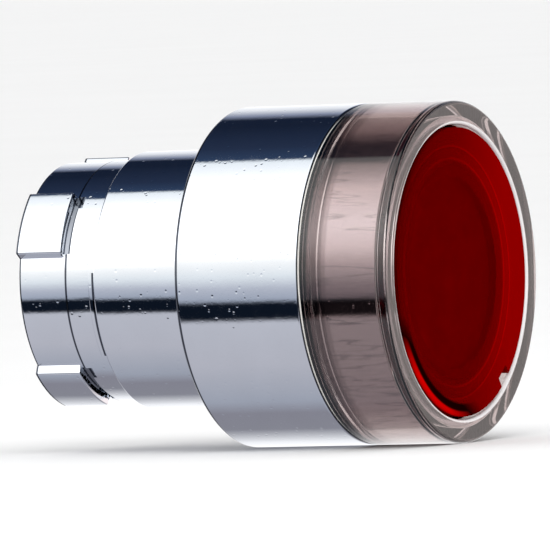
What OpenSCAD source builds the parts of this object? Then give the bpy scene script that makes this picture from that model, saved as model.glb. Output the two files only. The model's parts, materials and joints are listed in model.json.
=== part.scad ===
// Head of an illuminated push button for a 22 mm panel hole.
//
// A chromed barrel passes through the panel, and a chromed bezel seats on the panel's front.
// A clear guard ring stands on the bezel, round the red lens cap that is pressed. The lens cap
// snaps on a holder at the end of a hollow plunger, which runs through the barrel: a lamp's nose
// enters it from behind, and a ring of feet on its rear end works the contact blocks.
//
// Every section is drawn as [radius, height], with height 0 at the panel seat and growing towards
// the user. on_axis() lays the finished piece down, so that the button faces -Y with +Z up.

/* [Panel fit] */
// Diameter of the neck that passes through the panel hole
neck_d = 22; // [21.8:0.1:22.2]
// Length of the neck behind the panel seat
neck_length = 9.5; // [9.2:0.1:10.5]

/* [Bezel and guard ring] */
// Outer diameter of the bezel and of the guard ring
bezel_d = 29; // [28.8:0.1:30]
// Height of the metal bezel over the panel seat
bezel_height = 11.7; // [11.5:0.1:12.2]
// Height of the guard ring's front over the panel seat
front_height = 20; // [19.8:0.1:20.4]
// Radius of the rounding on the guard ring's front edge
guard_rounding = 0.8; // [0.4:0.1:1]

/* [Barrel] */
// Diameter of the barrel between the neck and the lugs
barrel_d = 20.6; // [20.5:0.1:20.8]
// Diameter of the barrel between the lugs
barrel_end_d = 20.4; // [20.2:0.1:20.5]
// Length of the barrel behind the panel seat
barrel_length = 17.1; // [17:0.1:17.5]

/* [Bayonet lugs] */
// Number of lugs round the barrel's end
lug_count = 4; // [3:1:4]
// Diameter over the lugs
lug_d = 21.8; // [21.5:0.1:21.9]
// Angle that one lug's outer face covers
lug_angle = 31; // [24:1:34]
// Length of a lug along the barrel
lug_length = 4.3; // [4:0.1:4.5]
// Angle of the first lug's middle, from +X towards +Z
lug_phase = 59.5; // [0:0.5:89.5]

/* [Button] */
// Diameter of the lens cap
lens_d = 24.5; // [24.2:0.1:24.6]
// Depth of the lens cap's rim below the guard ring's front
lens_recess = 0; // [0:0.1:0.3]
// Thickness of the lens cap's face
lens_face = 1.95; // [1.6:0.05:2]
// Diameter of the legend film on the diffuser
legend_d = 18.2; // [18:0.1:19]
// Angle of the lens cap's prising notch, from +X towards +Z
notch_angle = 308.5; // [0:0.5:359.5]
// Bore of the plunger, which takes the nose of a lamp
lamp_bore_d = 9.6; // [9.2:0.1:9.6]
// Distance that the button travels when it is pressed
travel = 4; // [3:0.5:4]

/* [Return spring] */
// Diameter of the spring's wire
wire_d = 0.7; // [0.5:0.05:0.75]
// Diameter of the spring, measured to the middle of its wire
spring_d = 14.6; // [14.2:0.1:14.8]
// Number of turns, with the closed turn at each end
spring_turns = 6.5; // [5:0.5:7]

/* [Hidden] */
$fn = 96;
sliver = 0.02;

// The cup is the barrel's wide front: it carries the bezel outside and the button inside
gasket_height = 1.3;
cup_floor = 4;
cup_outer_r = 13.2;
cup_bore_r = 12.5;
cup_top = front_height - 1.4;
snap_height = bezel_height + 1.2;

// Bores of the barrel, and the ledge between them that stops the button and holds the bush
neck_r = neck_d / 2;
spring_bore_r = 8.6;
rear_bore_r = 8.8;
ledge_bore_r = 7.4;
ledge_front = -7.5;
ledge_back = -9;

// The plunger is a stem with a collar, and the lens holder on its front end is a cup on a flange
stem_r = 6;
spigot_r = 5.5;
stem_end_r = 5.7;
stem_shoulder = -9.9;
stem_end = -12.9;
clip_groove_r = 5.3;
clip_back = -12.3;
clip_front = -11.7;
collar_r = 8.3;
collar_back = 3.2;
collar_front = 4.4;
key_r = 9.1;
key_width = 2;
flange_r = 11.9;
holder_r = 11.05;
holder_bore_r = 9.9;

// Heights of the button's stack, from the lens cap's rim downwards
lens_front = front_height - lens_recess;
lens_r = lens_d / 2;
lens_underside = lens_front - lens_face;
legend_front = lens_underside - 0.05;
legend_back = legend_front - 0.2;
diffuser_back = lens_front - 3.7;
skirt_end = lens_front - 5.6;
flange_front = lens_front - 6.1;
flange_back = flange_front - 1.2;
skirt_r = holder_r + 0.05;
plateau_r = 10.4;

// Housing pieces that the button moves against
bush_front = -6.7;
bumper_back = ledge_back - 0.6;
washer_back = collar_back - 0.45;
boot_bead_r = 10.9;
clamp_back = cup_floor + 1.2;
clamp_front = clamp_back + 1;

// The ring of feet on the stem's end
actuator_r = 8.3;
actuator_bore_r = 7.1;
actuator_back = -14.8;
foot_end = -16.3;
foot_angle = 40;
running_clearance = 0.05;

chrome = [0.80, 0.82, 0.86];
clear_smoke = [0.62, 0.55, 0.53, 0.45];
lens_red = [0.62, 0.02, 0.02, 0.9];
milk_white = [0.93, 0.92, 0.88];
black_plastic = [0.08, 0.08, 0.09];
black_rubber = [0.05, 0.05, 0.05];
natural_acetal = [0.90, 0.88, 0.80];
spring_steel = [0.62, 0.63, 0.65];

// Points on an arc about [r, h], between two angles
function arc(r, h, radius, from, to, steps = 6) =
    [for (i = [0:steps])
        let (a = from + (to - from) * i / steps)
        [r + radius * cos(a), h + radius * sin(a)]];

// The same points, last one first
function reversed(points) =
    [for (i = [len(points) - 1:-1:0]) points[i]];

// A line of points moved sideways by d
function beside(points, d) =
    [for (i = [0:len(points) - 1])
        let (
            a = points[max(i - 1, 0)],
            b = points[min(i + 1, len(points) - 1)],
            t = (b - a) / norm(b - a)
        )
        points[i] + d * [-t[1], t[0]]];

// Lays a piece drawn along +Z down, so that it faces -Y
module on_axis() {
    rotate([90, 0, 0]) children();
}

// A full turn of a section
module turned(section) {
    rotate_extrude() polygon(section);
}

// A plain ring
module ring(inner_r, outer_r, back, front) {
    turned([[inner_r, back], [outer_r, back], [outer_r, front], [inner_r, front]]);
}

// Part of a turn of a section, about a middle angle
module segment(section, middle, angle) {
    rotate([0, 0, middle - angle / 2]) rotate_extrude(angle = angle) polygon(section);
}

// Places a child at each lug's angle
module at_lugs() {
    for (i = [0:lug_count - 1])
        rotate([0, 0, lug_phase + i * 360 / lug_count]) children();
}

// Both guide keys, or the slots that they run in
module keys(outer_r, width, back, front) {
    for (side = [0, 180])
        rotate([0, 0, lug_phase + side])
            translate([collar_r - 1, -width / 2, back])
                cube([outer_r - collar_r + 1, width, front - back]);
}

module barrel_section() {
    barrel_r = barrel_d / 2;
    end_r = barrel_end_d / 2;
    end_chamfer = 0.3;
    edge = 0.15;
    step = lug_length - barrel_length + 0.3;
    gasket_groove_r = neck_r - 0.2;
    snap_groove_r = cup_outer_r - 0.25;
    polygon([
        [rear_bore_r, -barrel_length],
        [end_r - end_chamfer, -barrel_length],
        [end_r, end_chamfer - barrel_length],
        [end_r, step],
        [barrel_r, step],
        [barrel_r, -neck_length],
        [neck_r - edge, -neck_length],
        [neck_r, edge - neck_length],
        [neck_r, 0],
        [gasket_groove_r, 0],
        [gasket_groove_r, gasket_height],
        [cup_outer_r, gasket_height],
        [cup_outer_r, snap_height - 0.5],
        [snap_groove_r, snap_height - 0.3],
        [snap_groove_r, snap_height + 0.3],
        [cup_outer_r, snap_height + 0.5],
        [cup_outer_r, cup_top - edge],
        [cup_outer_r - edge, cup_top],
        [cup_bore_r + edge, cup_top],
        [cup_bore_r, cup_top - edge],
        [cup_bore_r, cup_floor],
        [spring_bore_r, cup_floor],
        [spring_bore_r, ledge_front],
        [ledge_bore_r, ledge_front],
        [ledge_bore_r, ledge_back],
        [rear_bore_r, ledge_back]
    ]);
}

// One lug, round the +X axis. Its sides flare towards the barrel, so that the mould lets go of it
module lug(back, front) {
    lug_r = lug_d / 2;
    root_r = rear_bore_r + 0.5;
    chamfer = 0.3;
    half = lug_angle / 2;
    flare = 1.8 * (lug_r - root_r) / (lug_r - barrel_end_d / 2);
    intersection() {
        turned([
            [root_r, back],
            [lug_r - chamfer, back],
            [lug_r, back + chamfer],
            [lug_r, front],
            [root_r, front]
        ]);
        translate([0, 0, back - 1]) linear_extrude(front - back + 2) polygon([
            [0, 0],
            (root_r - 1) * [cos(half + flare), -sin(half + flare)],
            root_r * [cos(half + flare), -sin(half + flare)],
            lug_r * [cos(half), -sin(half)],
            (lug_r + 1) * [cos(half), -sin(half)],
            (lug_r + 1) * [cos(half), sin(half)],
            lug_r * [cos(half), sin(half)],
            root_r * [cos(half + flare), sin(half + flare)],
            (root_r - 1) * [cos(half + flare), sin(half + flare)]
        ]);
    }
}

// Chromed die casting: the lugged tube, the neck, and the cup that holds the button
module barrel() {
    lug_front = lug_length - barrel_length;
    groove_r = barrel_end_d / 2 - 0.5;
    groove_length = 0.65;
    pocket_length = 1;
    pocket_angle = 7;
    relief_angle = 40;
    relief_middle = 194.5;
    slot_clearance = 0.3;
    slot_end = collar_back - travel - 0.1;
    color(chrome) on_axis() difference() {
        union() {
            rotate_extrude() barrel_section();
            at_lugs() lug(-barrel_length, lug_front);
            // A low step along part of the neck's rear edge
            segment([
                [neck_r - 1, -neck_length - 0.6],
                [neck_r - 0.25, -neck_length - 0.6],
                [neck_r - 0.25, 0.2 - neck_length],
                [neck_r - 1, 0.2 - neck_length]
            ], relief_middle, relief_angle);
        }
        // The groove in front of each lug, with a wider pocket at its start
        at_lugs() segment([
            [groove_r, lug_front],
            [neck_r, lug_front],
            [neck_r, lug_front + groove_length],
            [groove_r, lug_front + groove_length]
        ], 0, lug_angle);
        at_lugs() segment([
            [groove_r, lug_front],
            [neck_r, lug_front],
            [neck_r, lug_front + pocket_length],
            [groove_r, lug_front + pocket_length]
        ], (pocket_angle - lug_angle) / 2, pocket_angle);
        keys(key_r + slot_clearance, key_width + 2 * slot_clearance, slot_end, cup_floor + 1);
    }
}

// Chromed sleeve, pressed on the barrel's cup
module bezel() {
    bezel_r = bezel_d / 2;
    rear_rounding = 0.45;
    front_edge = 0.2;
    color(chrome) on_axis() turned(concat(
        [[cup_outer_r, 0]],
        arc(bezel_r - rear_rounding, rear_rounding, rear_rounding, -90, 0),
        [
            [bezel_r, bezel_height - front_edge],
            [bezel_r - front_edge, bezel_height],
            [cup_outer_r, bezel_height]
        ]
    ));
}

// Rubber ring that seals the bezel on the panel
module panel_gasket() {
    inner_r = neck_r - 0.18;
    outer_r = cup_outer_r - 0.05;
    lip = 0.3;
    groove_depth = 0.25;
    middle_r = (inner_r + outer_r) / 2;
    color(black_rubber) on_axis() turned([
        [neck_r + 0.1, 0],
        [middle_r - 0.3, 0],
        [middle_r - 0.1, groove_depth],
        [middle_r + 0.3, groove_depth],
        [middle_r + 0.5, 0],
        [outer_r, 0],
        [outer_r, gasket_height - sliver],
        [inner_r, gasket_height - sliver],
        [inner_r, lip]
    ]);
}

// Clear ring that stands on the bezel and keeps fingers off the button's edge
module guard_ring() {
    bezel_r = bezel_d / 2;
    inner_r = cup_outer_r + running_clearance;
    back = bezel_height + 0.2;
    back_edge = 0.1;
    bead_r = cup_outer_r - 0.18;
    lip_back = cup_top + 0.15;
    mouth_rounding = 0.3;
    color(clear_smoke) on_axis() turned(concat(
        [
            [inner_r, back],
            [bezel_r - back_edge, back],
            [bezel_r, back + back_edge]
        ],
        arc(bezel_r - guard_rounding, front_height - guard_rounding, guard_rounding, 0, 90, 8),
        arc(cup_bore_r + mouth_rounding, front_height - mouth_rounding, mouth_rounding, 90, 180),
        [
            [cup_bore_r, lip_back],
            [inner_r, lip_back],
            [inner_r, snap_height + 0.4],
            [bead_r, snap_height + 0.2],
            [bead_r, snap_height - 0.2],
            [inner_r, snap_height - 0.4]
        ]
    ));
}

// Thin pale washer in the joint between the bezel and the guard ring
module guard_ring_seal() {
    color(milk_white) on_axis()
        ring(cup_outer_r + running_clearance, bezel_d / 2 - 0.18, bezel_height, bezel_height + 0.2);
}

// Rubber bell that seals the plunger to the cup's floor, and folds as the button goes in
module boot_seal() {
    wall = 0.5;
    bead_outer_r = cup_bore_r - 0.1;
    neck_inner_r = stem_r + 0.03;
    neck_outer_r = stem_r + 1.2;
    neck_back = flange_back - 1.4;
    wall_line = [
        [boot_bead_r, cup_floor + 0.6],
        [10.2, cup_floor + 0.7],
        [9.75, cup_floor + 1.3],
        [9.6, cup_floor + 2.4],
        [9.5, cup_floor + 4],
        [9, neck_back - 1.7],
        [8.2, neck_back - 0.9],
        [7.5, neck_back - 0.2],
        [7.2, neck_back + 0.2]
    ];
    color(black_rubber) on_axis() turned(concat(
        [
            [boot_bead_r, clamp_back],
            [bead_outer_r, clamp_back],
            [bead_outer_r, cup_floor],
            [boot_bead_r, cup_floor]
        ],
        beside(wall_line, wall / 2),
        [
            [neck_inner_r, neck_back],
            [neck_inner_r, flange_back - sliver],
            [neck_outer_r, flange_back - sliver]
        ],
        reversed(beside(wall_line, -wall / 2))
    ));
}

// Steel ring, pressed in the cup on the boot's outer bead
module boot_clamp_ring() {
    edge = 0.15;
    inner_r = boot_bead_r - 0.05;
    color(spring_steel) on_axis() turned([
        [inner_r, clamp_back],
        [cup_bore_r, clamp_back],
        [cup_bore_r, clamp_front - edge],
        [cup_bore_r - edge, clamp_front],
        [inner_r, clamp_front]
    ]);
}

// Acetal bush in the ledge: it guides the stem, and the spring stands on its flange
module guide_bush() {
    bore_r = stem_r + running_clearance;
    bush_flange_r = spring_bore_r - 0.1;
    color(natural_acetal) on_axis() turned([
        [bore_r, ledge_back],
        [ledge_bore_r, ledge_back],
        [ledge_bore_r, ledge_front],
        [bush_flange_r, ledge_front],
        [bush_flange_r, bush_front],
        [bore_r, bush_front]
    ]);
}

// Rubber washer behind the ledge, which the ring of feet comes to rest on
module bumper_washer() {
    color(black_rubber) on_axis()
        ring(stem_r + 0.4, rear_bore_r - 0.1, bumper_back, ledge_back);
}

// Helical compression spring with a closed turn at each end
module return_spring() {
    wire_r = wire_d / 2;
    coil_r = spring_d / 2;
    first = bush_front + wire_r + sliver;
    last = washer_back - wire_r - sliver;
    closed_pitch = wire_d + 2 * sliver;
    open_pitch = (last - first - 2 * closed_pitch) / (spring_turns - 2);
    steps = 18 * spring_turns;
    sides = 8;
    function height(turn) =
        first + closed_pitch * min(turn, 1)
        + open_pitch * min(max(turn - 1, 0), spring_turns - 2)
        + closed_pitch * max(turn - spring_turns + 1, 0);
    points = [
        for (i = [0:steps])
            let (turn = spring_turns * i / steps)
            for (j = [0:sides - 1])
                let (a = 360 * j / sides, r = coil_r + wire_r * cos(a))
                [r * cos(360 * turn), r * sin(360 * turn), height(turn) + wire_r * sin(a)]
    ];
    walls = [
        for (i = [0:steps - 1])
            for (j = [0:sides - 1])
                let (k = (j + 1) % sides)
                [i * sides + j, (i + 1) * sides + j, (i + 1) * sides + k, i * sides + k]
    ];
    ends = [
        [for (j = [0:sides - 1]) j],
        [for (j = [sides - 1:-1:0]) steps * sides + j]
    ];
    color(spring_steel) on_axis() polyhedron(points, concat(walls, ends));
}

// Hollow stem that slides in the bush, with a keyed collar that the spring pushes forward
module plunger() {
    bore_r = lamp_bore_d / 2;
    end_chamfer = 0.2;
    color(black_plastic) on_axis() union() {
        turned([
            [bore_r, stem_end],
            [stem_end_r - end_chamfer, stem_end],
            [stem_end_r, stem_end + end_chamfer],
            [stem_end_r, clip_back],
            [clip_groove_r, clip_back],
            [clip_groove_r, clip_front],
            [stem_end_r, clip_front],
            [stem_end_r, stem_shoulder],
            [stem_r, stem_shoulder],
            [stem_r, collar_back],
            [collar_r, collar_back],
            [collar_r, collar_front],
            [stem_r, collar_front],
            [stem_r, flange_back],
            [spigot_r, flange_back],
            [spigot_r, flange_front],
            [bore_r, flange_front]
        ]);
        keys(key_r, key_width, collar_back, collar_front);
    }
}

// Flanged cup, pressed on the plunger's front end, that the lens cap snaps on
module lens_holder() {
    snap_mid = skirt_end + 0.9;
    snap_depth = 0.25;
    color(black_plastic) on_axis() turned([
        [spigot_r, flange_back],
        [flange_r, flange_back],
        [flange_r, flange_front],
        [holder_r, flange_front],
        [holder_r, snap_mid - 0.35],
        [holder_r - snap_depth, snap_mid - 0.2],
        [holder_r - snap_depth, snap_mid + 0.2],
        [holder_r, snap_mid + 0.35],
        [holder_r, diffuser_back],
        [holder_bore_r, diffuser_back],
        [holder_bore_r, flange_front],
        [spigot_r, flange_front]
    ]);
}

// Steel washer between the spring and the plunger's collar
module spring_washer() {
    color(spring_steel) on_axis() ring(stem_r + 0.1, collar_r - 0.2, washer_back, collar_back);
}

// Flat rubber ring between the lens cap's skirt and the holder's flange
module lens_seal() {
    color(black_rubber) on_axis()
        ring(holder_r + running_clearance, flange_r - 0.05, flange_front, skirt_end);
}

// White cone that spreads the lamp's light up to the diffuser
module reflector() {
    outer_r = holder_bore_r - running_clearance;
    mouth_r = outer_r - 0.5;
    top = diffuser_back - 0.1;
    throat = flange_front + 0.3;
    color(milk_white) on_axis() turned([
        [lamp_bore_d / 2 + 0.1, flange_front],
        [outer_r, flange_front],
        [outer_r, top],
        [mouth_r, top],
        [lamp_bore_d / 2 + 0.1, throat]
    ]);
}

// Translucent white cap under the lens cap, with a shallow recess for the legend film
module diffuser() {
    web = 0.95;
    rim_r = holder_r - 0.15;
    recess_r = legend_d / 2 + running_clearance;
    color(milk_white) on_axis() turned([
        [0, legend_back - web],
        [plateau_r - 1, legend_back - web],
        [plateau_r - 0.6, diffuser_back],
        [rim_r, diffuser_back],
        [rim_r, diffuser_back + 0.8],
        [plateau_r + 0.15, diffuser_back + 0.8],
        [plateau_r, legend_front],
        [recess_r, legend_front],
        [recess_r, legend_back],
        [0, legend_back]
    ]);
}

// Blank film in the diffuser's recess, where a legend could be printed
module legend_disc() {
    color([0.6, 0.6, 0.6]) on_axis()
        translate([0, 0, legend_back]) cylinder(d = legend_d, h = legend_front - legend_back);
}

// Red cap that is pressed: a flat face, and a skirt with a snap bead
module lens_cap() {
    rim_rounding = 0.15;
    snap_mid = skirt_end + 0.9;
    notch_width = 1.8;
    notch_depth = 1;
    notch_height = 1.2;
    color(lens_red) on_axis() difference() {
        turned(concat(
            [
                [0, lens_underside],
                [skirt_r, lens_underside],
                [skirt_r, snap_mid + 0.25],
                [skirt_r - 0.18, snap_mid + 0.1],
                [skirt_r - 0.18, snap_mid - 0.1],
                [skirt_r, snap_mid - 0.25],
                [skirt_r, skirt_end],
                [lens_r, skirt_end]
            ],
            arc(lens_r - rim_rounding, lens_front - rim_rounding, rim_rounding, 0, 90),
            [[0, lens_front]]
        ));
        rotate([0, 0, notch_angle])
            translate([lens_r - notch_depth, -notch_width / 2, lens_front - notch_height])
                cube([notch_depth + 1, notch_width, notch_height + 1]);
    }
}

// Ring on the stem's end, with the feet that press the contact blocks
module actuator_ring() {
    foot_count = 4;
    color(black_plastic) on_axis() difference() {
        turned([
            [stem_r + 0.03, bumper_back],
            [actuator_r, bumper_back],
            [actuator_r, foot_end + 0.2],
            [actuator_r - 0.2, foot_end],
            [actuator_bore_r, foot_end],
            [actuator_bore_r, clip_front],
            [stem_end_r + sliver, clip_front],
            [stem_end_r + sliver, stem_shoulder],
            [stem_r + 0.03, stem_shoulder]
        ]);
        // The gaps between the feet
        for (i = [0:foot_count - 1])
            segment([
                [actuator_bore_r - 1, foot_end - 1],
                [actuator_r + 1, foot_end - 1],
                [actuator_r + 1, actuator_back],
                [actuator_bore_r - 1, actuator_back]
            ], lug_phase + i * 360 / foot_count, 360 / foot_count - foot_angle);
    }
}

// Open steel clip that holds the ring of feet on the stem
module actuator_clip() {
    gap_angle = 50;
    color(spring_steel) on_axis() segment([
        [clip_groove_r + sliver, clip_back],
        [actuator_bore_r - 0.4, clip_back],
        [actuator_bore_r - 0.4, clip_front],
        [clip_groove_r + sliver, clip_front]
    ], lug_phase, 360 - gap_angle);
}

barrel();
bezel();
panel_gasket();
guard_ring();
guard_ring_seal();
boot_seal();
boot_clamp_ring();
guide_bush();
bumper_washer();
return_spring();
plunger();
spring_washer();
lens_holder();
lens_seal();
reflector();
diffuser();
legend_disc();
lens_cap();
actuator_ring();
actuator_clip();
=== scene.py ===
import json
import math

import bpy
from mathutils import Matrix, Vector


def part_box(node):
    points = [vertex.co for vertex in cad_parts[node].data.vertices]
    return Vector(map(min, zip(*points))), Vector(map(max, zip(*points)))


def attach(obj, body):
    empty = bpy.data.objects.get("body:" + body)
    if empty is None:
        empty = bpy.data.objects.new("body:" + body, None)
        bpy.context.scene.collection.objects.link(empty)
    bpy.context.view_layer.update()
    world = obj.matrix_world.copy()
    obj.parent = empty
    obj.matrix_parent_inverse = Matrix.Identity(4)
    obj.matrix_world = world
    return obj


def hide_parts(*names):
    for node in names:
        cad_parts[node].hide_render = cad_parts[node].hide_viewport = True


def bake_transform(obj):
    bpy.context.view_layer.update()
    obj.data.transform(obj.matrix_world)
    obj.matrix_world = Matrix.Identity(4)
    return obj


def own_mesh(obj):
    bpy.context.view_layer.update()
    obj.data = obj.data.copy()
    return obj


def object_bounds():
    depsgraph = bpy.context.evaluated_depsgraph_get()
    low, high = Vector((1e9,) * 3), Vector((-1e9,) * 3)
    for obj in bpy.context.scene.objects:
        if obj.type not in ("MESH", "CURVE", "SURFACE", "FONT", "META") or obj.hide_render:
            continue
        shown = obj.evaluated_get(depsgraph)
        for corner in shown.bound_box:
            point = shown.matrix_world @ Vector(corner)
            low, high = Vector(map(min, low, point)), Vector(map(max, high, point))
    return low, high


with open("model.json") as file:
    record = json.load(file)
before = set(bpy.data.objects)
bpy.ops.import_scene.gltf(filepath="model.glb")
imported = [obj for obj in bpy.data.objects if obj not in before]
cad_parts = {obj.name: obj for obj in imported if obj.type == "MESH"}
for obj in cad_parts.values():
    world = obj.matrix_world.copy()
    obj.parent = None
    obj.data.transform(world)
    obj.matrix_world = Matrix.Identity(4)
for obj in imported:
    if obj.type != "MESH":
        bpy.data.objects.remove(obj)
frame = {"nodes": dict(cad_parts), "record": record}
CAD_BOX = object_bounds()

bl_info = {
    "name": "Illuminated Push Button",
    "version": (1, 0, 0),
    "blender": (4, 5, 0),
    "location": "View3D > Sidebar > Push Button",
    "description": "Makes the visible pieces of a chromed push-button head, and the studio round it",
    "category": "Add Mesh",
}

MM = 0.001
TINY = 1e-7

# The button's axis is the world's Y axis. A piece is drawn as a section of [radius, height] corners
# in millimetres, where height 0 is the panel's front face and grows towards the user, down -Y.
CENTRE = (0.0, 0.0, 0.0)
# The spin tool turns against its axis, so this one makes it turn from +X towards +Z
SPIN_AXIS = (0.0, 1.0, 0.0)
WHITE = (1.0, 1.0, 1.0, 1.0)
LUGS = 4
POLYCARBONATE_IOR = 1.585


def reach(node):
    """Outer radius, rear height and front height of a node, in millimetres."""
    low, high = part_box(node)
    return round(high.x / MM, 3), round(-high.y / MM, 3), round(-low.y / MM, 3)


BARREL_R, BARREL_BACK, BARREL_FRONT = reach("barrel")
BEZEL_R, BEZEL_BACK, BEZEL_FRONT = reach("bezel")
RING_R, RING_BACK, RING_FRONT = reach("guard_ring")
GASKET_R, GASKET_BACK, GASKET_FRONT = reach("panel_gasket")
LENS_R, LENS_BACK, LENS_FRONT = reach("lens_cap")
HOLDER_R, HOLDER_BACK, HOLDER_FRONT = reach("lens_holder")
DIFFUSER_R, DIFFUSER_BACK = reach("diffuser")[:2]
LEGEND_R, LEGEND_BACK, LEGEND_FRONT = reach("legend_disc")
REFLECTOR_R, REFLECTOR_BACK, REFLECTOR_FRONT = reach("reflector")
STEM_BACK, STEM_FRONT = reach("plunger")[1:]
FEET_R, FEET_BACK, FEET_FRONT = reach("actuator_ring")
CLIP_R, CLIP_BACK, CLIP_FRONT = reach("actuator_clip")
BUSH_BACK, BUSH_FRONT = reach("guide_bush")[1:]
BUMPER_R, BUMPER_BACK, BUMPER_FRONT = reach("bumper_washer")
CLAMP_BACK = reach("boot_clamp_ring")[1]
BOOT_R, BOOT_BACK, BOOT_FRONT = reach("boot_seal")
SPRING_R, SPRING_BACK, SPRING_FRONT = reach("return_spring")
# The bore of the cup and of the guard ring's mouth, and the middle of the bead that the ring snaps on
MOUTH_R = BARREL_R - 0.7
SNAP = BEZEL_FRONT + 1.2


# ---------------------------------------------------------------- sizes and colours a user may change

def length_prop(name, description, millimetres):
    return bpy.props.FloatProperty(
        name=name, description=description, default=millimetres * MM, unit="LENGTH")


def angle_prop(name, description, degrees):
    return bpy.props.FloatProperty(
        name=name, description=description, default=math.radians(degrees), subtype="ANGLE")


class PUSHBUTTON_PG_sizes(bpy.types.PropertyGroup):
    """Sizes that only the visible pieces have."""
    turn_steps: bpy.props.IntProperty(
        name="Turn Steps", description="Faces round one full turn of a piece", default=192, min=48)
    neck_radius: length_prop("Neck Radius", "Radius of the neck that passes through the panel", 11.0)
    neck_length: length_prop("Neck Length", "Length of the neck behind the panel's front face", 9.5)
    tube_radius: length_prop("Tube Radius", "Radius of the tube between neck and lugs", 10.3)
    tube_end_radius: length_prop("Tube End Radius", "Radius of the tube between the lugs", 10.2)
    lug_radius: length_prop("Lug Radius", "Radius over the bayonet lugs", 10.9)
    lug_length: length_prop("Lug Length", "Length of a lug along the tube", 4.3)
    lug_angle: angle_prop("Lug Angle", "Angle that one lug covers", 31)
    lug_phase: angle_prop("Lug Phase", "Angle of the first lug's middle, from +X towards +Z", 59.5)
    notch_angle: angle_prop("Notch Angle", "Angle of the prising notch in the lens cap's rim", 308.5)
    ring_rounding: length_prop("Ring Rounding", "Radius of the rounding on the guard ring's front edge", 0.35)
    lens_face: length_prop("Lens Face", "Thickness of the lens cap's face", 1.95)
    key_radius: length_prop("Key Radius", "Radius over the plunger's guide keys", 9.1)
    wire_radius: length_prop("Wire Radius", "Radius of the return spring's wire", 0.35)
    spring_turns: bpy.props.FloatProperty(
        name="Open Turns", description="Turns of the return spring between its closed ends", default=4.5)


def linear(code):
    """The linear red, green, blue and alpha of an sRGB hex colour."""
    values = [int(code[i:i + 2], 16) / 255 for i in (1, 3, 5)]
    return tuple(v / 12.92 if v <= 0.04045 else ((v + 0.055) / 1.055) ** 2.4 for v in values) + (1.0,)


def colour_prop(name, description, code):
    return bpy.props.FloatVectorProperty(
        name=name, description=description, size=4, subtype="COLOR", min=0, max=1, default=linear(code))


class PUSHBUTTON_PG_colours(bpy.types.PropertyGroup):
    """Colours of the finishes."""
    chrome: colour_prop("Chrome", "Polished chromium plate", "#e4e7ec")
    # The seam colour is painted shade: a dark colour laid into the chrome's seams and grooves
    seam_shade: colour_prop("Dirt", "Old dirt in the seams of the chromed pieces", "#1a2334")
    # The mouth colour is painted light: white on the mouth's rounded edge for the light seen through the
    # clear ring
    painted_mouth_light: colour_prop("Frost", "Frosted edge round the guard ring's mouth", "#f3f1f1")
    smoke: colour_prop("Smoke", "Tint of the clear guard ring", "#d6c9c7")
    lens: colour_prop("Lens", "Red of the lens cap", "#e00000")
    milk: colour_prop("Milk", "Translucent white of the diffuser", "#ece9df")
    film: colour_prop("Film", "Grey of the blank legend film", "#b3b3b2")
    white: colour_prop("White", "White of the reflector", "#f0f0ec")
    rubber: colour_prop("Rubber", "Black nitrile rubber", "#17171a")
    silicone: colour_prop("Silicone", "Pale silicone of the thin washer", "#f1efe8")
    acetal: colour_prop("Acetal", "Natural acetal of the bush", "#ece7d8")
    black: colour_prop("Black", "Black moulded plastic", "#1b1b1d")
    zinc: colour_prop("Zinc", "Zinc plate on steel", "#b4b7bb")
    wire: colour_prop("Wire", "Drawn spring wire", "#a5a6a9")
    floor: colour_prop("Floor", "Studio floor", "#f6f6f6")


def sizes():
    return bpy.context.scene.push_button_sizes


def colours():
    return bpy.context.scene.push_button_colours


# ---------------------------------------------------------------- modelling by hand, in edit mode

def deselect_all():
    if bpy.context.object and bpy.context.object.mode != "OBJECT":
        bpy.ops.object.mode_set(mode="OBJECT")
    bpy.ops.object.select_all(action="DESELECT")


def pick(piece, *others):
    """Selects pieces, with the first one active."""
    deselect_all()
    for each in (piece, *others):
        each.select_set(True)
    bpy.context.view_layer.objects.active = piece


def select_points(piece, wanted):
    """In edit mode, selects the vertices for which wanted(position) is true."""
    bpy.ops.mesh.select_all(action="DESELECT")
    bpy.ops.object.mode_set(mode="OBJECT")
    for vertex in piece.data.vertices:
        vertex.select = wanted(vertex.co)
    bpy.ops.object.mode_set(mode="EDIT")


def close_edit():
    """Leaves edit mode with every face pointing outwards."""
    bpy.ops.mesh.select_all(action="SELECT")
    bpy.ops.mesh.normals_make_consistent(inside=False)
    bpy.ops.object.mode_set(mode="OBJECT")


def draw_section(name, corners):
    """Draws a closed section as one face. A corner is (radius, height) or (radius, height, rounding)."""
    places = [Vector((c[0] * MM, -c[1] * MM, 0)) for c in corners]
    deselect_all()
    bpy.ops.mesh.primitive_plane_add(size=MM)
    piece = bpy.context.object
    piece.name = piece.data.name = name
    bpy.ops.object.mode_set(mode="EDIT")
    bpy.ops.mesh.select_mode(type="VERT")
    bpy.ops.mesh.merge(type="CENTER")
    bpy.ops.transform.translate(value=places[0])
    for here, there in zip(places, places[1:]):
        bpy.ops.mesh.extrude_region_move(TRANSFORM_OT_translate={"value": there - here})
    bpy.ops.mesh.select_all(action="SELECT")
    bpy.ops.mesh.edge_face_add()
    for rounding in sorted({c[2] for c in corners if len(c) > 2}):
        rounded = [p for p, c in zip(places, corners) if len(c) > 2 and c[2] == rounding]
        select_points(piece, lambda co: any((co - p).length < TINY for p in rounded))
        bpy.ops.mesh.bevel(
            offset=rounding * MM, segments=8 if rounding > 0.5 else 4, affect="VERTICES", clamp_overlap=False)
    return piece


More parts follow.
